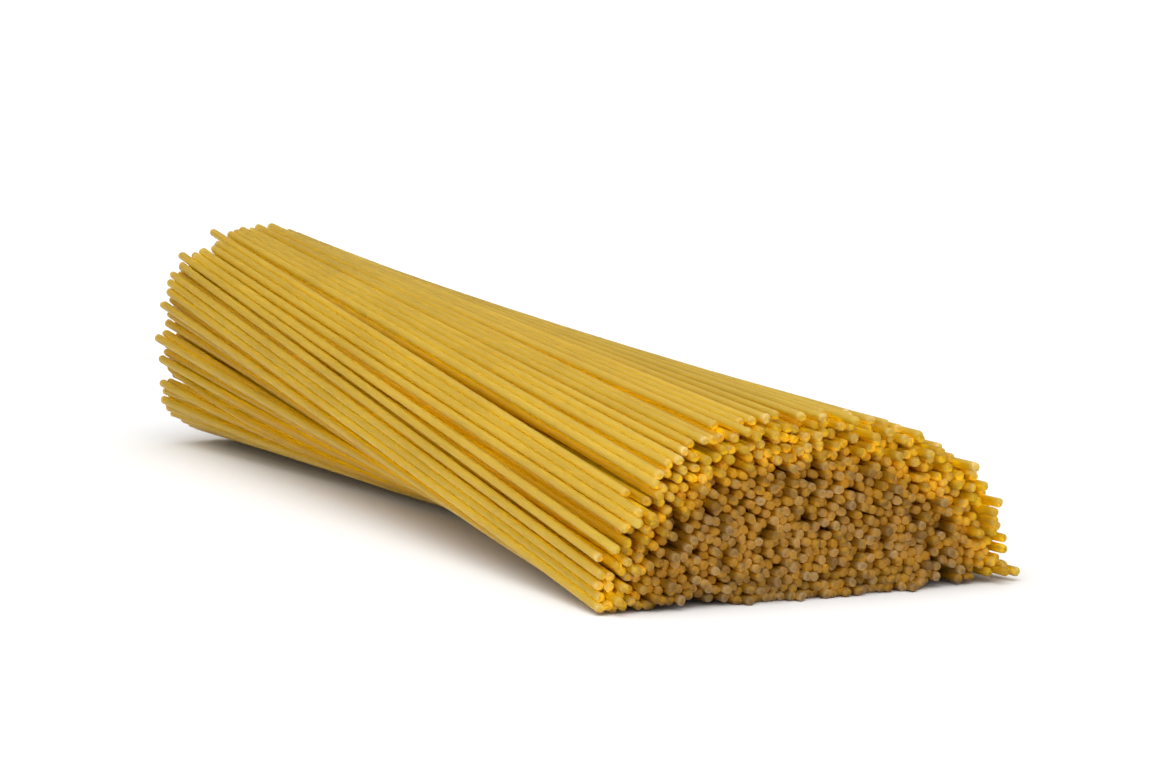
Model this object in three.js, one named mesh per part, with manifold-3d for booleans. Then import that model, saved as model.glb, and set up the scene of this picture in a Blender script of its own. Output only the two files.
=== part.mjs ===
// A bundle of dry long pasta lying on a table, given a part turn so that its strands run askew.
// The far end is tall and round, the near end is fanned out into a low dome with a flat bed.
// The strands are one solid: a twisted core, the outer strands laid on it side by side, and the
// ends of inner strands standing out of both end faces by uneven amounts.
// X runs along the strands towards the near end, Z is up, the origin is at the bottom centre.

import * as THREE from "three";
import { mergeVertices } from "three/addons/utils/BufferGeometryUtils.js";
import Module from "manifold-3d";

// Driving dimensions, in millimetres and degrees
const STRAND_LENGTH = 260;
const STRAND_DIAMETER = 1.85;
const OUTER_SIDES = 6;
const INNER_SIDES = 5;
const STRAND_SPACING = 1.92;
const TWIST_DEGREES = 34.5;
const LARGEST_SLIP = 3;
const INNER_STRANDS = 113;
const INNER_REACH = 0.93;
const CORE_RECESS = 3.5;
const CORE_SWELL = 1.007;
const STUB_ROOT = 1.5;

// Each end's outline runs through the centres of its outer strands. Above the shoulder it is
// half an ellipse that leans sideways with height, below the shoulder it drops to the bed.
const OUTLINE_SPACING = 254;
const STRAND_RADIUS = STRAND_DIAMETER / 2;
const BED = STRAND_RADIUS * Math.cos(Math.PI / OUTER_SIDES);
const FAR_END = {
  x: -OUTLINE_SPACING / 2,
  halfWidth: 28.5,
  top: 48.4,
  shoulder: 20.2,
  lean: -0.2,
  middle: 21,
};
const NEAR_END = {
  x: OUTLINE_SPACING / 2,
  halfWidth: 46.2,
  top: 35.5,
  shoulder: BED,
  lean: -0.045,
  middle: 15,
};
const SIDE_FULLNESS = 0.9;
const BED_FLATNESS = 0.5;

// All strands lie a little towards the near end, but the ones high up there are set back.
const NEAR_SHIFT = 1;
const SLOPE_START = 23;
const SLOPE_BACK = 5;

const TWIST = THREE.MathUtils.degToRad(TWIST_DEGREES);
const FULL_TURN = 2 * Math.PI;
const GOLDEN_ANGLE = Math.PI * (3 - Math.sqrt(5));
const OUTLINE_SAMPLES = 2400;
const RANDOM_SEED = 2024;

const wasm = await Module();
wasm.setup();

// The draws are seeded, so that the bundle is the same each time.
THREE.MathUtils.seededRandom(RANDOM_SEED);

// How far a strand has slid past its neighbours, most often only a little.
function slip() {
  return LARGEST_SLIP * (THREE.MathUtils.seededRandom() + THREE.MathUtils.seededRandom() - 1);
}

// How far the middle of a strand lies towards the near end, by its height at that end.
function placeAlong(line) {
  const rise = (line.end.z - SLOPE_START) / (NEAR_END.top - SLOPE_START);
  return NEAR_SHIFT - SLOPE_BACK * Math.max(0, rise);
}

// The point of an end's outline at an angle that runs from +Y towards +Z.
function outlinePoint(end, angle) {
  const across = Math.cos(angle);
  const rise = Math.sin(angle);
  const side = Math.sign(across) * Math.abs(across) ** SIDE_FULLNESS;
  const z = rise >= 0
    ? end.shoulder + (end.top - end.shoulder) * rise
    : end.shoulder - (end.shoulder - BED) * (-rise) ** BED_FLATNESS;
  const leaning = end.lean * Math.max(0, z - end.shoulder);
  return new THREE.Vector3(end.x, end.halfWidth * side + leaning, z);
}

// A point inside an end: share 0 is its middle and share 1 is its outline.
function pointInEnd(end, share, angle) {
  return new THREE.Vector3(end.x, 0, end.middle).lerp(outlinePoint(end, angle), share);
}

// Every strand is a straight line from the far end to a place turned by the twist at the near end.
function strandLine(share, angle) {
  return new THREE.Line3(
    pointInEnd(FAR_END, share, angle),
    pointInEnd(NEAR_END, share, angle + TWIST),
  );
}

function halfwayPoint(share, angle) {
  return strandLine(share, angle).at(0.5, new THREE.Vector3());
}

// Angles at which outer strands lie side by side where the bundle is narrowest, halfway along.
function outerAngles() {
  const travelled = [0];
  for (let i = 1; i <= OUTLINE_SAMPLES; i += 1) {
    const before = halfwayPoint(1, (FULL_TURN * (i - 1)) / OUTLINE_SAMPLES);
    const here = halfwayPoint(1, (FULL_TURN * i) / OUTLINE_SAMPLES);
    travelled.push(travelled[i - 1] + before.distanceTo(here));
  }
  const girth = travelled[OUTLINE_SAMPLES];
  const count = Math.floor(girth / STRAND_SPACING);
  return Array.from({ length: count }, (_, k) => {
    const sample = travelled.findIndex((length) => length >= (girth * k) / count);
    return (FULL_TURN * sample) / OUTLINE_SAMPLES;
  });
}

// A closed mesh as a solid that can be joined to others.
function solidFrom(geometry) {
  geometry.deleteAttribute("normal");
  geometry.deleteAttribute("uv");
  const merged = mergeVertices(geometry);
  return new wasm.Manifold(new wasm.Mesh({
    numProp: 3,
    vertProperties: new Float32Array(merged.attributes.position.array),
    triVerts: new Uint32Array(merged.index.array),
  }));
}

// A stretch of a strand, from one distance to another along its line, measured from the middle.
// One of its flats faces outwards.
function rod(line, outwards, sides, from, to) {
  const along = line.delta(new THREE.Vector3()).normalize();
  const sideways = new THREE.Vector3().crossVectors(outwards, along).normalize();
  const facing = new THREE.Vector3().crossVectors(along, sideways);
  const middle = line.getCenter(new THREE.Vector3());
  const geometry = new THREE.CylinderGeometry(STRAND_RADIUS, STRAND_RADIUS, to - from, sides);
  geometry.applyMatrix4(new THREE.Matrix4().makeBasis(facing, along, sideways));
  geometry.translate(...middle.addScaledVector(along, (from + to) / 2).toArray());
  return solidFrom(geometry);
}

// The way out of the bundle at its narrowest place, square to its outline there.
function outwardsAt(angle) {
  const step = FULL_TURN / OUTLINE_SAMPLES;
  const tangent = halfwayPoint(1, angle + step).sub(halfwayPoint(1, angle - step));
  return new THREE.Vector3(0, tangent.z, -tangent.y).normalize();
}

function outerStrand(angle) {
  const line = strandLine(1, angle);
  const slid = placeAlong(line) + slip();
  return rod(
    line,
    outwardsAt(angle),
    OUTER_SIDES,
    slid - STRAND_LENGTH / 2,
    slid + STRAND_LENGTH / 2,
  );
}

// An inner strand shows only its two ends, rooted just inside the core's end faces.
function innerStrandEnds(index) {
  const share = INNER_REACH * Math.sqrt((index + 0.5) / INNER_STRANDS);
  const angle = index * GOLDEN_ANGLE;
  const line = strandLine(share, angle);
  const outwards = outwardsAt(angle);
  const place = placeAlong(line);
  const slid = place + slip();
  const root = STRAND_LENGTH / 2 - CORE_RECESS - STUB_ROOT;
  const nearTip = Math.max(slid + STRAND_LENGTH / 2, place + root + 2 * STUB_ROOT);
  const farTip = Math.min(slid - STRAND_LENGTH / 2, place - root - 2 * STUB_ROOT);
  return [
    rod(line, outwards, INNER_SIDES, place + root, nearTip),
    rod(line, outwards, INNER_SIDES, farTip, place - root),
  ];
}

// The core: a cylinder whose rims are moved to the two outlines, with flat ends that are set back.
// A slope is cut off its near end's top, where the strands are set back too.
function core(sides) {
  const geometry = new THREE.CylinderGeometry(1, 1, 1, sides, 1);
  const position = geometry.attributes.position;
  const halfLength = STRAND_LENGTH / 2 - CORE_RECESS;
  const nearFace = NEAR_SHIFT + halfLength;
  const farFace = NEAR_SHIFT - halfLength;
  const vertex = new THREE.Vector3();
  for (let i = 0; i < position.count; i += 1) {
    vertex.fromBufferAttribute(position, i);
    const share = CORE_SWELL * Math.round(Math.hypot(vertex.x, vertex.z));
    const line = strandLine(share, Math.atan2(-vertex.z, vertex.x));
    line.at(0.5 + (vertex.y > 0 ? nearFace : farFace) / OUTLINE_SPACING, vertex);
    position.setXYZ(i, vertex.x, vertex.y, vertex.z);
  }
  const inwards = new THREE.Vector3(SLOPE_START - NEAR_END.top, 0, -SLOPE_BACK).normalize();
  const edge = new THREE.Vector3(nearFace, 0, SLOPE_START);
  return solidFrom(geometry).trimByPlane(inwards.toArray(), inwards.dot(edge));
}

// The largest of the pieces that a union leaves, with every sealed hollow inside it filled.
function mainPiece(solid) {
  return solid.decompose().reduce((best, piece) => (piece.volume() > best.volume() ? piece : best));
}

function geometryFrom(solid) {
  const mesh = solid.getMesh();
  const geometry = new THREE.BufferGeometry();
  geometry.setAttribute("position", new THREE.BufferAttribute(mesh.vertProperties, mesh.numProp));
  geometry.setIndex(new THREE.BufferAttribute(mesh.triVerts, 1));
  return geometry;
}

// The whole bundle, cut off flat at the surface that it lies on.
function bundleGeometry() {
  const angles = outerAngles();
  const pieces = [core(angles.length), ...angles.map(outerStrand)];
  for (let index = 0; index < INNER_STRANDS; index += 1) {
    pieces.push(...innerStrandEnds(index));
  }
  const aboveBed = wasm.Manifold.union(pieces).trimByPlane([0, 0, 1], 0);
  const geometry = geometryFrom(mainPiece(aboveBed));
  geometry.computeBoundingBox();
  const { min, max } = geometry.boundingBox;
  geometry.translate(-(min.x + max.x) / 2, -(min.y + max.y) / 2, -min.z);
  geometry.computeVertexNormals();
  return geometry;
}

const pasta = new THREE.MeshStandardMaterial({ color: 0xd3a93f, roughness: 0.5, metalness: 0 });
const strandBundle = new THREE.Mesh(bundleGeometry(), pasta);
strandBundle.name = "strand_bundle";

const bundle = new THREE.Group();
bundle.add(strandBundle);

export default bundle;
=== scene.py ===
import math

import bpy
import numpy as np
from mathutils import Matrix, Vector


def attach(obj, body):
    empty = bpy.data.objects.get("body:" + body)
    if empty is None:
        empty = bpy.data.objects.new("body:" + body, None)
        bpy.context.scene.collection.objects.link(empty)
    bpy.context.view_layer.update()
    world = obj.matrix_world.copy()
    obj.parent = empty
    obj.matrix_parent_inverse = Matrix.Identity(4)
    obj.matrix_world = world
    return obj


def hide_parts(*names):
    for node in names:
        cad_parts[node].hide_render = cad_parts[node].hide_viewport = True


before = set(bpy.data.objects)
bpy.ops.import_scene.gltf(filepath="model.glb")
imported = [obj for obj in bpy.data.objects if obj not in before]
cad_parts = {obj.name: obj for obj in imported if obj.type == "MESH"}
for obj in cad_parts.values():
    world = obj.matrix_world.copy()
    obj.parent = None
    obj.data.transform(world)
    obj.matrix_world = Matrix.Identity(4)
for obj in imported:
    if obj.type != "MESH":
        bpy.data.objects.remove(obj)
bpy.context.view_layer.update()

# Sizes of the strands and of the bundle's two ends, in millimetres
BUNDLE_LENGTH = 254.0
STRAND_LENGTH = 260.0
STRAND_DIAMETER = 1.85
STRAND_RADIUS = STRAND_DIAMETER / 2
TWIST = math.radians(34.5)
FAR_END = dict(half_width=28.5, top=48.4, shoulder=20.2, lean=-0.2, middle=21.0)
NEAR_END = dict(half_width=46.2, top=35.5, shoulder=STRAND_RADIUS, lean=-0.045, middle=15.0)
SIDE_FULLNESS = 0.9
BED_FLATNESS = 0.5
ORIGIN_SHIFT = 1.5

# Inner strands lie in a lattice, and outer ones side by side, in groups towards the near end
LATTICE_PITCH = 2.0
LATTICE_SHIFT = 0.3
LATTICE_MARGIN = 0.3
OUTER_LAYER = 1.6
OUTER_SPACING = 1.9
SPACING_JITTER = 0.08
GROUP_CHANCES = (0.14, 0.33, 0.33, 0.2)
GROUP_SPACING = 1.9
LOOSE_SPACING = 3.2

# Each strand is tilted a little about the bundle's waist, and slid along it
WAIST = 0.35
INNER_SCATTER = 1.8
OUTER_SCATTER = 0.3
BED_SLIP = 0.8
OUTER_SLIP = 2.0
OUTER_SLIP_HEIGHT = 12.0
OUTER_SLIP_POWER = 3
STRAY_SHARE = 0.03
STRAY_SLIP = 3.5
SLOPE_START = 23.0
SLOPE_BACK = 5.0
NEAR_SHIFT = 1.0

# How the strands are settled against each other, at places spread along the bundle
STATIONS = 13
SETTLING_ROUNDS = 900
LIST_EVERY = 10
LIST_REACH = 1.35 * STRAND_DIAMETER
CLEARANCE = 1.005
PUSH = 0.6
COHESION = 0.04
COHESION_ROUNDS = 600
PULL_IN = 0.5
SINK_HEIGHT = 16.0
SINK = 0.006

# Share of a strand's place, slant, bow and S that each round of settling keeps
KEPT_SHAPE = np.array([1.0, 1.0, 0.985, 0.97])

# One strand's mesh: its cap's rings by depth behind the tip, share of the radius and paleness, which is
# the frosted cut with a painted highlight brightest at the rim
SIDES = 12
CAP_RINGS = ((0.0, 0.48, 0.4), (0.09, 0.78, 0.85), (0.27, 0.94, 1.0), (0.6, 1.0, 0.55),
             (1.9, 1.0, 0.05), (6.0, 1.0, 0.0))
CAP_DEPTHS, CAP_SHARES, CAP_PALENESS_AND_HIGHLIGHT = np.array(CAP_RINGS).T
TIP_RINGS = 5
OUTER_STEPS = 12
INNER_STEPS = 4
OUTER_SHARE = 0.9

# How unevenly strands are shaped and cut
LENGTH_SPREAD = 0.5
THICKNESS_SPREAD = 0.02
OVAL_SPREAD = 0.025
TIP_DIMPLE = 0.05
TIP_TILT = 0.16
TIP_SQUEEZE = 0.14
TIP_FADE = 0.7
TIP_ROUGHNESS = 0.04
ROUGH_DEPTH = CAP_DEPTHS[2]

# How the strands differ in tone, how painted light brightens them towards the near end, and how their
# cut ends differ in paleness
TONE_MIDDLE = 0.5
TONE_SPREAD = 0.18
PAINTED_LIGHT_SLOPE = 0.8
LEAST_PALE = 0.18
PALE_POWER = 2
CENTRE_PALENESS = 0.3

# How depth below the bundle's skin and openness to the sky are looked up
DEEPEST = 16.0
OPEN_HEIGHT = 3.0
RIM_STEP = 6
LOOK_TURNS = 16
LOOK_NEIGHBOURS = 24
LOW_GLOW = 0.25
TIP_CLEARANCE = 1.0

# Colours of dry pasta by tone, which also carries the painted light along the length, and tints by fine
# streaks and by wide mottling
TONE_STOPS = ((0.0, (0.455, 0.297, 0.026)), (0.5, (0.515, 0.341, 0.033)), (1.0, (0.578, 0.388, 0.043)))
STREAK_STOPS = ((0.3, (0.95, 0.94, 0.9)), (0.7, (1.0, 1.0, 1.0)))
MOTTLE_STOPS = ((0.35, (0.92, 0.9, 0.84)), (0.65, (1.0, 1.0, 1.0)))

# Painted light by openness of the bundle's skin, and a painted amber glow in the gaps below it: hidden
# places are lifted and turned amber, as by light that passes through the strands
SKIN_PAINTED_LIGHT_STOPS = ((0.0, (1.14, 1.12, 0.4)), (0.15, (1.12, 1.1, 0.45)), (0.35, (1.05, 1.04, 0.58)),
              (0.6, (0.98, 0.97, 0.75)), (0.85, (0.98, 0.98, 0.97)), (1.0, (1.02, 1.02, 1.08)))
GAP_PAINTED_GLOW_STOPS = ((0.0, (1.5, 1.46, 0.008)), (0.15, (1.44, 1.36, 0.007)), (0.35, (1.21, 1.07, 0.006)),
             (0.6, (1.03, 0.85, 0.008)), (1.0, (0.97, 0.79, 0.02)))

# Painted shade on the end faces, browner the deeper they lie among the strands, and painted light by
# openness that lifts hidden parts and dims open ones
FACE_SHADE_STOPS = ((0.225, (0.56, 0.36, 0.006)), (0.5, (0.46, 0.265, 0.004)), (0.7, (0.256, 0.132, 0.004)),
              (1.0, (0.214, 0.112, 0.005)))
FACE_OPEN_LIGHT_STOPS = ((0.0, (1.6, 1.46, 0.8)), (0.2, (1.3, 1.23, 0.9)), (0.45, (0.92, 0.87, 1.0)),
                   (1.0, (0.7, 0.61, 1.6)))

# Colours of the frosted cut ends by grain, and painted shade that darkens them the deeper they lie
CUT_STOPS = ((0.3, (0.66, 0.44, 0.12)), (0.7, (0.85, 0.66, 0.35)))
TIP_SHADE_STOPS = ((0.0, (1.0, 1.0, 0.95)), (0.19, (0.72, 0.68, 0.45)), (0.45, (0.62, 0.56, 0.42)),
             (0.68, (0.45, 0.4, 0.35)), (1.0, (0.5, 0.47, 0.56)))

# Depths over which the painted amber glow in the gaps and the painted shade of the end faces set in
GAP_GLOW_DEPTHS = (0.066, 0.1)
FACE_SHADE_DEPTHS = (0.13, 0.46)

# The painted amber glow in the gaps is weak at the far end and in full some way along
FAR_GAP_GLOW_SHARE = 0.35
FULL_GAP_GLOW_PLACE = 0.55

# The pasta's fine structure and finish
STREAKS = dict(scale=2600.0, detail=3.0, stretch=(0.02, 1.0, 1.0))
MOTTLE = dict(scale=90.0, detail=3.0, stretch=(0.35, 1.0, 1.0))
GRAIN = dict(scale=5200.0, detail=2.0, stretch=(1.0, 1.0, 1.0))
SIDE_ROUGHNESS = 0.42
CUT_ROUGHNESS = 0.7
PASTA_SPECULAR = 0.12
SCATTER_RADIUS = (1.0, 0.8, 0.25)
SCATTER_SCALE = 0.003
BUMP_STRENGTH = 0.25
BUMP_DISTANCE = 0.00005

# The floor, in metres
FLOOR_SIZE = 40.0
FLOOR_COLOR = (0.96, 0.96, 0.96, 1.0)
FLOOR_ROUGHNESS = 0.9
FLOOR_SPECULAR = 0.1

# The studio light
GLOW_FROM = (0.33, -0.3, 0.89)
GLOW_STRENGTH = 2.2
GLOW_FOCUS = 3.0
SKY_STRENGTH = 0.4
WHITE = (1.0, 1.0, 1.0, 1.0)

# The camera: its distance in metres, and its focal length and the bundle's middle in photo pixels
PHOTO_SIZE = (1152, 768)
FOCAL_PIXELS = 5858
BUNDLE_PIXEL = (518, 509)
CAMERA_YAW = math.radians(26.27)
CAMERA_RISE = math.radians(8.65)
CAMERA_DISTANCE = 1.26
SENSOR_WIDTH = 36.0

MILLIMETRE = 0.001
FULL_TURN = 2 * np.pi
UP = np.array([0.0, 0.0, 1.0])
SECTION_SAMPLES = 721
OUTLINE_SAMPLES = 1440
TINY = 1e-9
RANDOM_SEED = 7
rng = np.random.default_rng(RANDOM_SEED)


# The bundle's outline

def outline(end, angle):
    """An end's outline through the centres of its outer strands, from +Y towards +Z."""
    across = np.cos(angle)
    rise = np.sin(angle)
    upper = end["shoulder"] + (end["top"] - end["shoulder"]) * rise
    lower = end["shoulder"] - (end["shoulder"] - STRAND_RADIUS) * np.abs(rise) ** BED_FLATNESS
    z = np.where(rise >= 0, upper, lower)
    y = end["half_width"] * np.sign(across) * np.abs(across) ** SIDE_FULLNESS
    y = y + end["lean"] * np.maximum(0.0, z - end["shoulder"])
    return np.stack([y, z], -1)


def place_in_end(end, share, angle):
    """Points of an end: share 0 is its middle and share 1 is its outline."""
    middle = np.array([0.0, end["middle"]])
    return middle + share[:, None] * (outline(end, angle) - middle)


class Section:
    """The outline part of the way along the bundle, read by the turn about its middle."""

    ANGLES = np.linspace(-np.pi, np.pi, SECTION_SAMPLES)

    def __init__(self, share):
        ones = np.ones(len(self.ANGLES))
        rim = ((1 - share) * place_in_end(FAR_END, ones, self.ANGLES)
               + share * place_in_end(NEAR_END, ones, self.ANGLES + TWIST))
        self.middle = np.array([0.0, (1 - share) * FAR_END["middle"] + share * NEAR_END["middle"]])
        spoke = rim - self.middle
        turn = np.mod(np.arctan2(spoke[:, 1], spoke[:, 0]), FULL_TURN)
        order = np.argsort(turn)
        self.turn = turn[order]
        self.reach = np.hypot(spoke[:, 0], spoke[:, 1])[order]
        self.angle = self.ANGLES[order]
        self.open_rim = rim[rim[:, 1] > OPEN_HEIGHT][::RIM_STEP]

    def read(self, points):
        """Turn and distance of points about the middle, and how far the outline reaches there."""
        spoke = points - self.middle
        turn = np.mod(np.arctan2(spoke[:, 1], spoke[:, 0]), FULL_TURN)
        distance = np.hypot(spoke[:, 0], spoke[:, 1])
        return turn, distance, np.interp(turn, self.turn, self.reach, period=FULL_TURN)

    def depth(self, points):
        """How far points lie below the skin that light reaches, which leaves out the bed."""
        y = points[:, 0, None] - self.open_rim[:, 0]
        z = points[:, 1, None] - self.open_rim[:, 1]
        nearest = np.sqrt((y ** 2 + z ** 2).min(1))
        _, distance, reach = self.read(points)
        outside = (distance > reach) & (points[:, 1] > STRAND_RADIUS)
        return STRAND_RADIUS + np.where(outside, -nearest, nearest)

    def angle_at(self, turn):
        """The outline's own angle at a turn about the middle."""
        across = np.interp(turn, self.turn, np.cos(self.angle), period=FULL_TURN)
        rise = np.interp(turn, self.turn, np.sin(self.angle), period=FULL_TURN)
        return np.arctan2(rise, across)


# The stations along the bundle, and the shapes that a strand may take through them
share_along = np.linspace(0.0, 1.0, STATIONS)
sections = [Section(share) for share in share_along]
centred = 2 * share_along - 1
powers = np.stack([centred ** power for power in range(len(KEPT_SHAPE))], 1)
bends, _ = np.linalg.qr(powers)


# Where the strands lie before they are settled

def lattice():
    """A hexagonal lattice of inner strands halfway along, as shares and angles of the outline."""
    half = Section(0.5)
    extent = 2 * NEAR_END["half_width"]
    rows = np.arange(0, extent, LATTICE_PITCH * math.sqrt(3) / 2)
    columns = np.arange(-extent, extent, LATTICE_PITCH)
    y, z = np.meshgrid(columns, rows)
    y = y + LATTICE_PITCH / 2 * (np.arange(len(rows)) % 2)[:, None]
    points = np.stack([y.ravel() + LATTICE_SHIFT, z.ravel() + STRAND_RADIUS], -1)
    turn, distance, reach = half.read(points)
    kept = distance <= reach - OUTER_LAYER + LATTICE_MARGIN
    return (distance / reach)[kept], half.angle_at(turn)[kept]


def drawn_together(place):
    """Draws neighbouring outer strands together in groups of one to four, by their places on a rim."""
    sizes = 1 + rng.choice(len(GROUP_CHANCES), len(place), p=GROUP_CHANCES)
    group = np.repeat(np.arange(len(place)), sizes)[:len(place)]
    members = np.bincount(group)
    middle = np.bincount(group, place) / members
    spacing = np.bincount(group, np.gradient(place)) / members
    tightness = np.where(spacing < LOOSE_SPACING, np.minimum(1.0, GROUP_SPACING / spacing), 1.0)
    return middle[group] + tightness[group] * (place - middle[group])


def outer_layer():
    """Angles of the outer strands: side by side at the far end, in small groups at the near end."""
    angle = np.linspace(-np.pi / 2, 3 * np.pi / 2, OUTLINE_SAMPLES + 1)
    ones = np.ones(len(angle))
    far = place_in_end(FAR_END, ones, angle)
    near = place_in_end(NEAR_END, ones, angle + TWIST)
    far_step, half_step, near_step = [np.linalg.norm(np.diff(rim, axis=0), axis=1)
                                      for rim in (far, (far + near) / 2, near)]
    angle = angle[1:]
    place = np.cumsum(np.minimum(far_step, (far_step + half_step) / 2))
    count = int(place[-1] / OUTER_SPACING)
    steps = np.arange(count) + SPACING_JITTER * rng.uniform(-1, 1, count)
    far_angle = np.interp(steps * place[-1] / count, place, angle)
    near_place = np.cumsum(near_step)
    together = drawn_together(np.interp(far_angle, angle, near_place))
    return far_angle, np.interp(together, near_place, angle)


def straight_strands():
    """Straight strands from end to end, inner ones first, and which of them are outer ones."""
    inner_share, inner_angle = lattice()
    far_angle, near_angle = outer_layer()
    share = np.concatenate([inner_share, np.ones(len(far_angle))])
    outer = np.arange(len(share)) >= len(inner_share)
    far = place_in_end(FAR_END, share, np.concatenate([inner_angle, far_angle]))
    near = place_in_end(NEAR_END, share, np.concatenate([inner_angle, near_angle]) + TWIST)
    tilt = np.where(outer, OUTER_SCATTER, INNER_SCATTER)[:, None] * rng.normal(size=far.shape)
    along = share_along[None, :, None]
    lean = (along - WAIST) / (1 - WAIST)
    return far[:, None] * (1 - along) + near[:, None] * along + tilt[:, None] * lean, outer


# How the strands settle against each other

def close_pairs(paths):
    """Pairs of strands near each other at each station, as places in the flat list of points."""
    count = len(paths)
    firsts, seconds = [], []
    for station in range(STATIONS):
        order = np.argsort(paths[:, station, 0])
        y, z = paths[order, station].T
        beyond = np.searchsorted(y, y + LIST_REACH) - np.arange(count) - 1
        first = np.repeat(np.arange(count), beyond)
        run_start = np.repeat(np.cumsum(beyond) - beyond, beyond)
        second = first + 1 + np.arange(len(first)) - run_start
        close = np.abs(z[first] - z[second]) < LIST_REACH
        firsts.append(order[first[close]] * STATIONS + station)
        seconds.append(order[second[close]] * STATIONS + station)
    return np.concatenate(firsts), np.concatenate(seconds)


def push_apart(points, first, second, cohesion):
    """Moves strands that cut into each other apart, and leans inner ones on their close neighbours."""
    gap = points[first] - points[second]
    distance = np.hypot(gap[:, 0], gap[:, 1]) + TINY
    depth = STRAND_DIAMETER * CLEARANCE - distance
    lean = cohesion[first // STATIONS] * cohesion[second // STATIONS] * (distance < LIST_REACH)
    lean *= share_along[first % STATIONS] ** 2
    push = gap * (0.5 * np.where(depth > 0, PUSH, lean) * depth / distance)[:, None]
    for axis in range(2):
        points[:, axis] += np.bincount(first, push[:, axis], len(points))
        points[:, axis] -= np.bincount(second, push[:, axis], len(points))


def pull_inside(paths, inset):
    """Draws strands back towards the bundle's outline, and inner ones below its first layer."""
    for station, section in enumerate(sections):
        _, distance, reach = section.read(paths[:, station])
        excess = np.maximum(0.0, distance - reach + inset) / (distance + TINY)
        paths[:, station] -= PULL_IN * excess[:, None] * (paths[:, station] - section.middle)


def straighten(paths):
    """Leaves each strand straight but for a slight bow or S."""
    amounts = np.einsum("km,nkc->nmc", bends, paths) * KEPT_SHAPE[:, None]
    return np.einsum("km,nmc->nkc", bends, amounts)


def settled_strands():
    """Strands that lie on the bed and beside each other, within the bundle's outline."""
    paths, outer = straight_strands()
    inset = np.where(outer, 0.0, OUTER_LAYER)
    cohesion = np.where(outer, 0.0, math.sqrt(COHESION))
    for settling in range(SETTLING_ROUNDS):
        if settling % LIST_EVERY == 0:
            first, second = close_pairs(paths)
        if settling == COHESION_ROUNDS:
            cohesion[:] = 0.0
        push_apart(paths.reshape(-1, 2), first, second, cohesion)
        pull_inside(paths, inset)
        low = np.clip(1 - paths[:, -1, 1] / SINK_HEIGHT, 0, 1)
        paths[..., 1] -= SINK * low[:, None] * share_along ** 2
        paths = straighten(paths)
        paths[..., 1] = np.maximum(paths[..., 1], STRAND_RADIUS)
    return paths


def outline_shares(paths):
    """How near each strand comes to the outline at each station, from 0 to about 1."""
    shares = []
    for station, section in enumerate(sections):
        _, distance, reach = section.read(paths[:, station])
        shares.append(distance / reach)
    return np.stack(shares, 1)


def slid_along(paths):
    """How far each strand has slid along the bundle: least in the bed, most on flanks and top."""
    count = len(paths)
    height = np.minimum(1.0, paths[:, -1, 1] / OUTER_SLIP_HEIGHT)
    loose = BED_SLIP + OUTER_SLIP * height * outline_shares(paths)[:, -1] ** OUTER_SLIP_POWER
    slide = loose * rng.normal(size=count)
    stray = rng.random(count) < STRAY_SHARE
    slide += stray * rng.uniform(-STRAY_SLIP, STRAY_SLIP, count)
    above = np.maximum(0.0, paths[:, -1, 1] - SLOPE_START) / (NEAR_END["top"] - SLOPE_START)
    return slide + NEAR_SHIFT - SLOPE_BACK * above


# How much of the sky the strands see

def sky_seen(centres, blocking):
    """Share of the sky that each side of a strand sees past its neighbours, by turn from +Y."""
    turns = np.linspace(0, FULL_TURN, LOOK_TURNS, endpoint=False)
    looks = np.stack([np.cos(turns), np.sin(turns)], -1).astype(np.float32)
    glow = np.maximum(0.0, looks @ looks.T) * (LOW_GLOW + np.maximum(0.0, looks[:, 1]))
    gap = (centres[None] - centres[:, None]).astype(np.float32)
    near = np.argsort((gap ** 2).sum(-1), 1)[:, 1:LOOK_NEIGHBOURS + 1]
    gap = np.take_along_axis(gap, near[..., None], 1)
    blocking = np.take_along_axis(blocking, near, 1)[..., None]
    seen = np.empty((len(centres), LOOK_TURNS))
    for turn in range(LOOK_TURNS):
        spoke = gap - np.float32(STRAND_RADIUS) * looks[turn]
        ahead = spoke @ looks.T
        aside = (spoke ** 2).sum(-1)[..., None] - ahead ** 2
        hidden = ((ahead > 0) & (aside < STRAND_RADIUS ** 2) & blocking).any(1)
        seen[:, turn] = (~hidden * glow[turn]).sum(1) / glow[turn].sum()
    return seen


def openness(paths, slips):
    """The sky that strands see at their far tip, at each station and at their near tip."""
    past_far = slips[None] < slips[:, None] + TIP_CLEARANCE
    past_near = slips[None] > slips[:, None] - TIP_CLEARANCE
    everywhere = np.ones_like(past_far)
    along = [sky_seen(paths[:, station], everywhere) for station in range(STATIONS)]
    return np.stack([sky_seen(paths[:, 0], past_far), *along, sky_seen(paths[:, -1], past_near)], 1)


def station_places(x):
    """The station before each place along the bundle, and the share of the way to the next one."""
    place = np.clip(x / BUNDLE_LENGTH + 0.5, 0, 1) * (STATIONS - 1)
    station = np.minimum(place.astype(int), STATIONS - 2)
    return station, place - station


def ring_openness(seen, x):
    """Openness of every ring by its place along the bundle, and of the rings at the tips."""
    station, share = station_places(x)
    strand = np.arange(len(seen))[:, None]
    share = share[..., None]
    rings = (1 - share) * seen[strand, station + 1] + share * seen[strand, station + 2]
    rings[:, :TIP_RINGS] = seen[:, :1]
    rings[:, -TIP_RINGS:] = seen[:, -1:]
    return rings


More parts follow.
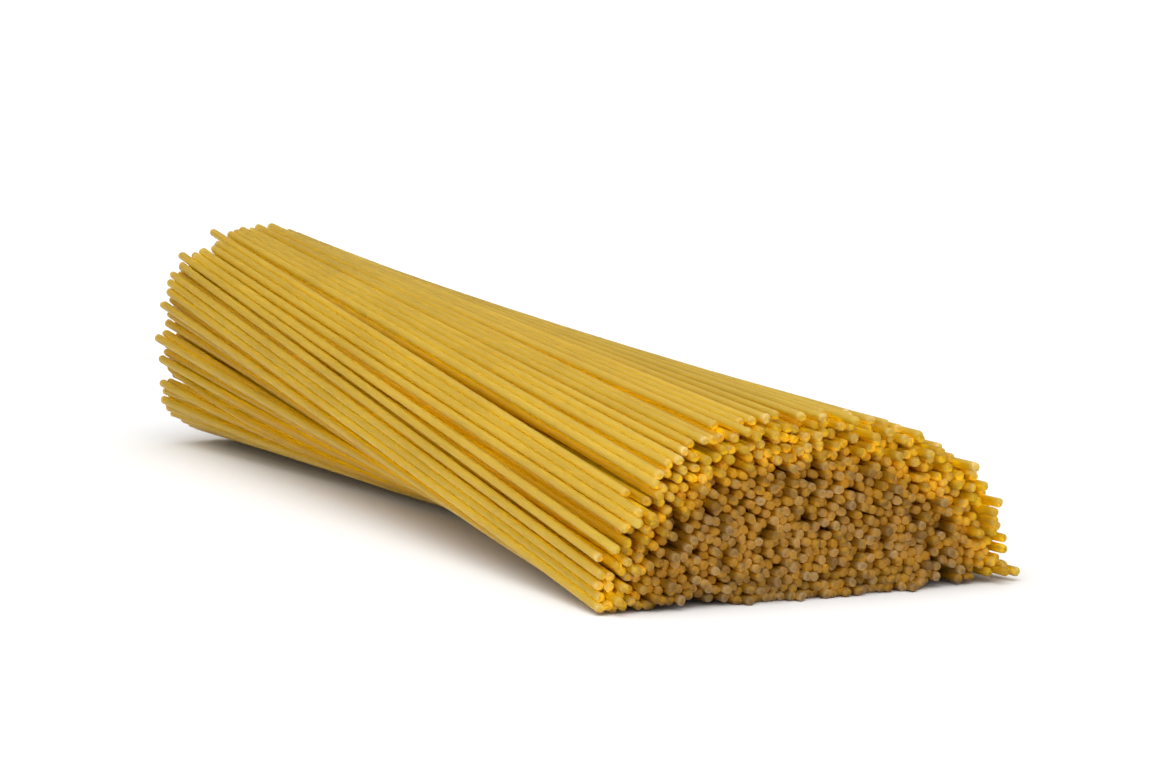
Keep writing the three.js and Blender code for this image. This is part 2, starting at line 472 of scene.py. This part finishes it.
def vertex_openness(seen, x, turn):
    """Openness of every vertex: a tip's middle takes the mean of the ring round it."""
    rings = ring_openness(seen, x)
    place = np.mod(turn, FULL_TURN) / FULL_TURN * LOOK_TURNS
    lower = place.astype(int)[:, None] % LOOK_TURNS
    upper = (lower + 1) % LOOK_TURNS
    share = (place - np.floor(place))[:, None]
    shape = (*x.shape, SIDES)
    before = np.take_along_axis(rings, np.broadcast_to(lower, shape), 2)
    after = np.take_along_axis(rings, np.broadcast_to(upper, shape), 2)
    skin = ((1 - share) * before + share * after).reshape(len(x), -1)
    tips = np.stack([skin[:, :SIDES].mean(1), skin[:, -SIDES:].mean(1)], 1)
    return np.concatenate([skin, tips], 1)


def depth_below_skin(points):
    """How far points lie below the bundle's open skin, from 0 at the skin to 1 where it is deep."""
    lower, share = station_places(points[:, 0])
    depth = np.empty(len(points))
    for station in range(STATIONS - 1):
        here = lower == station
        depth[here] = ((1 - share[here]) * sections[station].depth(points[here, 1:])
                       + share[here] * sections[station + 1].depth(points[here, 1:]))
    return np.clip(depth / DEEPEST, 0, 1)


# The mesh of the strands

def ring_depths(lengths, steps):
    """Distance of every ring from the strand's far tip, for each strand."""
    body = np.linspace(0, 1, steps + 1)[1:-1]
    far_cap = np.broadcast_to(CAP_DEPTHS, (len(lengths), len(CAP_DEPTHS)))
    cap_length = CAP_DEPTHS[-1]
    middle = cap_length + (lengths[:, None] - 2 * cap_length) * body
    return np.concatenate([far_cap, middle, (lengths[:, None] - far_cap)[:, ::-1]], 1)


def centre_lines(paths, slips, depths, lengths):
    """Points and directions along the strands, going straight on beyond the bundle's ends."""
    factors = np.einsum("pk,nkc->npc", np.linalg.pinv(powers), paths)
    step = np.diff(paths, axis=1)
    station_gap = BUNDLE_LENGTH / (STATIONS - 1)
    stretch = np.sqrt((step ** 2).sum(-1) + station_gap ** 2).sum(1) / BUNDLE_LENGTH
    x = (depths - lengths[:, None] / 2 + slips[:, None]) / stretch[:, None]
    place = 2 * x / BUNDLE_LENGTH
    held = np.clip(place, -1, 1)
    terms = range(len(KEPT_SHAPE))
    value = sum(factors[:, p][:, None] * held[..., None] ** p for p in terms)
    slope = sum(p * factors[:, p][:, None] * held[..., None] ** (p - 1) for p in terms[1:])
    value = value + slope * (place - held)[..., None]
    value[..., 1] = np.maximum(value[..., 1], STRAND_RADIUS)
    points = np.concatenate([x[..., None], value], -1)
    ahead = np.concatenate([np.full_like(x, BUNDLE_LENGTH / 2)[..., None], slope], -1)
    return points, ahead / np.linalg.norm(ahead, axis=-1, keepdims=True)


def ring_radii(turn, share):
    """Radius at every point of the rings, for strands a little oval and of uneven thickness."""
    count = len(turn)
    oval = 1 + OVAL_SPREAD * rng.normal(size=(count, 1)) * np.cos(2 * turn)
    thickness = STRAND_RADIUS * (1 + THICKNESS_SPREAD * rng.normal(size=(count, 1)))
    return (thickness * oval)[:, None, :] * share[None, :, None]


def cut_tips(radius, turn, share, depths, lengths):
    """Radii squeezed near both tips, and how far a slanted, rough cut moves points lengthwise."""
    count = len(turn)
    lengthwise = np.zeros(radius.shape)
    tip_depth = np.minimum(depths, lengths[:, None] - depths)
    fade = np.exp(-tip_depth / TIP_FADE)
    at_far = depths < lengths[:, None] / 2
    for half in (at_far, ~at_far):
        here = half * fade
        squeeze = TIP_SQUEEZE * np.abs(rng.normal(size=(count, 1)))
        pinch = np.cos(2 * (turn - rng.uniform(0, np.pi, (count, 1))))
        radius = radius * (1 + here[..., None] * (squeeze * pinch)[:, None, :])
        tilt = TIP_TILT * rng.normal(size=(count, 1)) * STRAND_RADIUS
        slant = tilt * np.cos(turn - rng.uniform(0, FULL_TURN, (count, 1)))
        lengthwise += here[..., None] * slant[:, None, :] * share[None, :, None]
        rough = TIP_ROUGHNESS * rng.normal(size=radius.shape)
        lengthwise += rough * (here * (tip_depth < ROUGH_DEPTH))[..., None]
    return radius, lengthwise


def strand_vertices(points, ahead, turn, radius, lengthwise):
    """Each strand's rings of points, followed by the dimpled middles of its two tips."""
    side = np.cross(UP, ahead)
    side /= np.linalg.norm(side, axis=-1, keepdims=True)
    above = np.cross(ahead, side)
    across = (np.cos(turn)[:, None, :, None] * side[:, :, None]
              + np.sin(turn)[:, None, :, None] * above[:, :, None])
    skin = points[:, :, None] + radius[..., None] * across + lengthwise[..., None] * ahead[:, :, None]
    far_middle = points[:, :1] + TIP_DIMPLE * ahead[:, :1]
    near_middle = points[:, -1:] - TIP_DIMPLE * ahead[:, -1:]
    vertices = np.concatenate([skin.reshape(len(points), -1, 3), far_middle, near_middle], 1)
    vertices[..., 2] = np.maximum(vertices[..., 2], 0.0)
    return vertices


def tip_paleness_and_highlight(count, rings):
    """How pale each vertex is: the frosted cut ends with a painted highlight, most at their rims, and
    not at all along the strand.
    """
    far, near = LEAST_PALE + (1 - LEAST_PALE) * rng.random((2, count, 1)) ** PALE_POWER
    body = np.zeros((count, rings - 2 * len(CAP_PALENESS_AND_HIGHLIGHT)))
    pale = np.concatenate([far * CAP_PALENESS_AND_HIGHLIGHT, body, near * CAP_PALENESS_AND_HIGHLIGHT[::-1]], 1)
    middles = CENTRE_PALENESS * np.concatenate([far, near], 1)
    return np.concatenate([np.repeat(pale, SIDES, 1), middles], 1)


def strand_faces(count, rings):
    """Quads along the strands and triangles on their tips, as the places of their vertices."""
    ring, spoke = np.meshgrid(np.arange(rings - 1), np.arange(SIDES), indexing="ij")
    corner = (ring * SIDES + spoke).ravel()
    beside = (ring * SIDES + (spoke + 1) % SIDES).ravel()
    walls = np.stack([corner, beside, beside + SIDES, corner + SIDES], 1)
    rim = np.arange(SIDES)
    next_rim = (rim + 1) % SIDES
    last = (rings - 1) * SIDES
    middle = rings * SIDES
    far_cap = np.stack([next_rim, rim, np.full(SIDES, middle)], 1)
    near_cap = np.stack([last + rim, last + next_rim, np.full(SIDES, middle + 1)], 1)
    start = (np.arange(count) * (middle + 2))[:, None, None]
    quads = (walls + start).reshape(-1, 4)
    triangles = (np.concatenate([far_cap, near_cap]) + start).reshape(-1, 3)
    return quads.tolist() + triangles.tolist()


def strand_mesh(name, paths, slips, tones, seen, steps):
    """One mesh of many strands, with the attributes tone, near, tip, deep and open for its material."""
    count = len(paths)
    lengths = STRAND_LENGTH + rng.normal(0, LENGTH_SPREAD, count)
    depths = ring_depths(lengths, steps)
    points, ahead = centre_lines(paths, slips, depths, lengths)
    rings = depths.shape[1]
    share = np.concatenate([CAP_SHARES, np.ones(rings - 2 * len(CAP_SHARES)), CAP_SHARES[::-1]])
    turn = np.linspace(0, FULL_TURN, SIDES, endpoint=False) + rng.uniform(0, FULL_TURN, count)[:, None]
    radius, lengthwise = cut_tips(ring_radii(turn, share), turn, share, depths, lengths)
    vertices = strand_vertices(points, ahead, turn, radius, lengthwise)
    along = vertices[..., 0] / BUNDLE_LENGTH
    attributes = {
        # Each strand's own tone, plus painted light that brightens strands towards the near end
        "tone_and_painted_light": np.clip(tones[:, None] + PAINTED_LIGHT_SLOPE * along, 0, 1),
        "near": np.clip(along + 0.5, 0, 1),
        "tip": tip_paleness_and_highlight(count, rings),
        "deep": depth_below_skin(vertices.reshape(-1, 3)),
        "open": vertex_openness(seen, points[..., 0], turn),
    }

    mesh = bpy.data.meshes.new(name)
    placed = (vertices.reshape(-1, 3) + (ORIGIN_SHIFT, 0.0, 0.0)) * MILLIMETRE
    mesh.from_pydata(placed.tolist(), [], strand_faces(count, rings))
    for attribute, values in attributes.items():
        mesh.attributes.new(attribute, "FLOAT", "POINT").data.foreach_set("value", values.ravel())
    mesh.polygons.foreach_set("use_smooth", np.ones(len(mesh.polygons), bool))
    mesh.update()
    return mesh


# The material of dry pasta

class Shading:
    """Makes the nodes of a material, each linked to what it reads."""

    def __init__(self, material):
        self.nodes = material.node_tree.nodes
        self.links = material.node_tree.links

    def attribute(self, name):
        """A mesh attribute's value."""
        node = self.nodes.new("ShaderNodeAttribute")
        node.attribute_name = name
        return node.outputs["Fac"]

    def noise(self, scale, detail, stretch):
        """Noise in the object's own space."""
        place = self.nodes.new("ShaderNodeTexCoord")
        mapping = self.nodes.new("ShaderNodeMapping")
        mapping.inputs["Scale"].default_value = stretch
        texture = self.nodes.new("ShaderNodeTexNoise")
        texture.inputs["Scale"].default_value = scale
        texture.inputs["Detail"].default_value = detail
        self.links.new(place.outputs["Object"], mapping.inputs["Vector"])
        self.links.new(mapping.outputs["Vector"], texture.inputs["Vector"])
        return texture.outputs["Fac"]

    def ramp(self, value, stops):
        """A colour by a value, through the stops."""
        node = self.nodes.new("ShaderNodeValToRGB")
        elements = node.color_ramp.elements
        while len(elements) < len(stops):
            elements.new(0.5)
        for element, (position, color) in zip(elements, stops):
            element.position = position
            element.color = (*color, 1.0)
        self.links.new(value, node.inputs["Fac"])
        return node.outputs["Color"]

    def fade(self, value, start, stop, low, high):
        """A number that goes from low to high while a value goes from start to stop."""
        node = self.nodes.new("ShaderNodeMapRange")
        node.inputs["From Min"].default_value = start
        node.inputs["From Max"].default_value = stop
        node.inputs["To Min"].default_value = low
        node.inputs["To Max"].default_value = high
        self.links.new(value, node.inputs["Value"])
        return node.outputs["Result"]

    def product(self, first, second):
        """Two numbers multiplied."""
        node = self.nodes.new("ShaderNodeMath")
        node.operation = "MULTIPLY"
        self.links.new(first, node.inputs[0])
        self.links.new(second, node.inputs[1])
        return node.outputs["Value"]

    def mix(self, first, second, share):
        """The first colour going over into the second."""
        node = self.nodes.new("ShaderNodeMix")
        node.data_type = "RGBA"
        self.links.new(share, node.inputs["Factor"])
        self.links.new(first, node.inputs["A"])
        self.links.new(second, node.inputs["B"])
        return node.outputs["Result"]

    def tint(self, first, second):
        """Two colours multiplied."""
        node = self.nodes.new("ShaderNodeMix")
        node.data_type = "RGBA"
        node.blend_type = "MULTIPLY"
        node.inputs["Factor"].default_value = 1.0
        self.links.new(first, node.inputs["A"])
        self.links.new(second, node.inputs["B"])
        return node.outputs["Result"]

    def bump(self, height, strength, distance):
        """Normals that follow a height."""
        node = self.nodes.new("ShaderNodeBump")
        node.inputs["Strength"].default_value = strength
        node.inputs["Distance"].default_value = distance
        self.links.new(height, node.inputs["Height"])
        return node.outputs["Normal"]


def side_color(shading, streaks):
    """Yellow sides with streaks and mottling, brighter towards the near end by painted light, with
    painted light on hidden parts of the skin and a painted amber glow in the gaps below it.
    """
    color = shading.ramp(shading.attribute("tone_and_painted_light"), TONE_STOPS)
    color = shading.tint(color, shading.ramp(streaks, STREAK_STOPS))
    color = shading.tint(color, shading.ramp(shading.noise(**MOTTLE), MOTTLE_STOPS))
    # Painted light: hidden parts of the skin are lifted, and the gaps below it get a painted amber glow,
    # weaker at the far end
    skin = shading.ramp(shading.attribute("open"), SKIN_PAINTED_LIGHT_STOPS)
    gap = shading.ramp(shading.attribute("open"), GAP_PAINTED_GLOW_STOPS)
    below = shading.fade(shading.attribute("deep"), *GAP_GLOW_DEPTHS, 0.0, 1.0)
    strength = shading.fade(shading.attribute("near"), 0.0, FULL_GAP_GLOW_PLACE, FAR_GAP_GLOW_SHARE, 1.0)
    return shading.tint(color, shading.mix(skin, gap, shading.product(below, strength)))


def face_shade_color(shading):
    """Painted shade: brown that deepens towards the middle of the end faces, with painted light by
    openness.
    """
    color = shading.ramp(shading.attribute("deep"), FACE_SHADE_STOPS)
    return shading.tint(color, shading.ramp(shading.attribute("open"), FACE_OPEN_LIGHT_STOPS))


def cut_color(shading):
    """Pale, grainy cut ends, darker by painted shade where they lie deep."""
    color = shading.ramp(shading.noise(**GRAIN), CUT_STOPS)
    return shading.tint(color, shading.ramp(shading.attribute("deep"), TIP_SHADE_STOPS))


def pasta_material():
    """Satin pasta that light passes into, with frosted cut ends."""
    material = bpy.data.materials.new("dry_pasta")
    material.use_nodes = True
    shading = Shading(material)
    shader = shading.nodes["Principled BSDF"]
    shader.subsurface_method = "BURLEY"
    shader.inputs["Specular IOR Level"].default_value = PASTA_SPECULAR
    shader.inputs["Subsurface Weight"].default_value = 1.0
    shader.inputs["Subsurface Radius"].default_value = SCATTER_RADIUS
    shader.inputs["Subsurface Scale"].default_value = SCATTER_SCALE

    streaks = shading.noise(**STREAKS)
    # Painted shade: parts deep in the bundle go over into the painted brown of the end faces
    inside = shading.fade(shading.attribute("deep"), *FACE_SHADE_DEPTHS, 0.0, 1.0)
    color = shading.mix(side_color(shading, streaks), face_shade_color(shading), inside)
    # The cut ends' colour by paleness: the frosted cut, with a painted highlight at the rims
    color = shading.mix(color, cut_color(shading), shading.attribute("tip"))
    roughness = shading.fade(shading.attribute("tip"), 0.0, 1.0, SIDE_ROUGHNESS, CUT_ROUGHNESS)
    normal = shading.bump(streaks, BUMP_STRENGTH, BUMP_DISTANCE)
    shading.links.new(color, shader.inputs["Base Color"])
    shading.links.new(roughness, shader.inputs["Roughness"])
    shading.links.new(normal, shader.inputs["Normal"])
    return material


# The pieces of the bundle

def add_strands():
    """Both pieces of the bundle: the strands that show along their length, and the inner ones."""
    paths = settled_strands()
    slips = slid_along(paths)
    seen = openness(paths, slips)
    tones = rng.normal(TONE_MIDDLE, TONE_SPREAD, len(paths))
    outer = outline_shares(paths).max(1) > OUTER_SHARE
    material = pasta_material()
    pieces = (("outer_strands", outer, OUTER_STEPS), ("inner_strands", ~outer, INNER_STEPS))
    for name, chosen, steps in pieces:
        mesh = strand_mesh(name, paths[chosen], slips[chosen], tones[chosen], seen[chosen], steps)
        mesh.materials.append(material)
        piece = bpy.data.objects.new(name, mesh)
        bpy.context.collection.objects.link(piece)
        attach(piece, "root")
        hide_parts("strand_bundle")


# The floor, the light and the camera

def floor_material():
    """A plain pale, matt surface."""
    material = bpy.data.materials.new("pale_floor")
    material.use_nodes = True
    shader = material.node_tree.nodes["Principled BSDF"]
    shader.inputs["Base Color"].default_value = FLOOR_COLOR
    shader.inputs["Roughness"].default_value = FLOOR_ROUGHNESS
    shader.inputs["Specular IOR Level"].default_value = FLOOR_SPECULAR
    return material


def add_floor():
    """A wide flat floor at the bundle's bed."""
    half = FLOOR_SIZE / 2
    corners = [(-half, -half, 0), (half, -half, 0), (half, half, 0), (-half, half, 0)]
    mesh = bpy.data.meshes.new("floor")
    mesh.from_pydata(corners, [], [(0, 1, 2, 3)])
    mesh.materials.append(floor_material())
    floor = bpy.data.objects.new("floor", mesh)
    bpy.context.collection.objects.link(floor)


def add_light():
    """A white studio sky that glows most where a wide softbox hangs, above and a little to the left."""
    world = bpy.data.worlds.new("studio")
    world.use_nodes = True
    nodes = world.node_tree.nodes
    links = world.node_tree.links
    direction = nodes.new("ShaderNodeTexCoord")
    facing = nodes.new("ShaderNodeVectorMath")
    facing.operation = "DOT_PRODUCT"
    facing.inputs[1].default_value = Vector(GLOW_FROM).normalized()
    links.new(direction.outputs["Generated"], facing.inputs[0])

    value = facing.outputs["Value"]
    steps = (("MAXIMUM", 0.0), ("POWER", GLOW_FOCUS), ("MULTIPLY", GLOW_STRENGTH), ("ADD", SKY_STRENGTH))
    for operation, second in steps:
        node = nodes.new("ShaderNodeMath")
        node.operation = operation
        node.inputs[1].default_value = second
        links.new(value, node.inputs[0])
        value = node.outputs["Value"]
    links.new(value, nodes["Background"].inputs["Strength"])
    nodes["Background"].inputs["Color"].default_value = WHITE
    bpy.context.scene.world = world
    bpy.context.scene.view_settings.view_transform = "Standard"


def add_camera():
    """A camera far off to the fanned end's left, with the bundle's middle at its pixel."""
    towards = Vector((math.cos(CAMERA_YAW) * math.cos(CAMERA_RISE),
                      -math.sin(CAMERA_YAW) * math.cos(CAMERA_RISE),
                      math.sin(CAMERA_RISE)))
    right = Vector((math.sin(CAMERA_YAW), math.cos(CAMERA_YAW), 0))
    above = towards.cross(right)
    pixel = CAMERA_DISTANCE / FOCAL_PIXELS
    aside = PHOTO_SIZE[0] / 2 - BUNDLE_PIXEL[0]
    upwards = BUNDLE_PIXEL[1] - PHOTO_SIZE[1] / 2
    aim = (right * aside + above * upwards) * pixel
    data = bpy.data.cameras.new("camera")
    data.sensor_width = SENSOR_WIDTH
    data.lens = SENSOR_WIDTH * FOCAL_PIXELS / PHOTO_SIZE[0]
    camera = bpy.data.objects.new("camera", data)
    camera.location = towards * CAMERA_DISTANCE
    camera.rotation_euler = (camera.location - aim).to_track_quat("Z", "Y").to_euler()
    camera.location.x += ORIGIN_SHIFT * MILLIMETRE
    bpy.context.collection.objects.link(camera)
    bpy.context.scene.camera = camera


add_strands()
add_floor()
add_light()
add_camera()
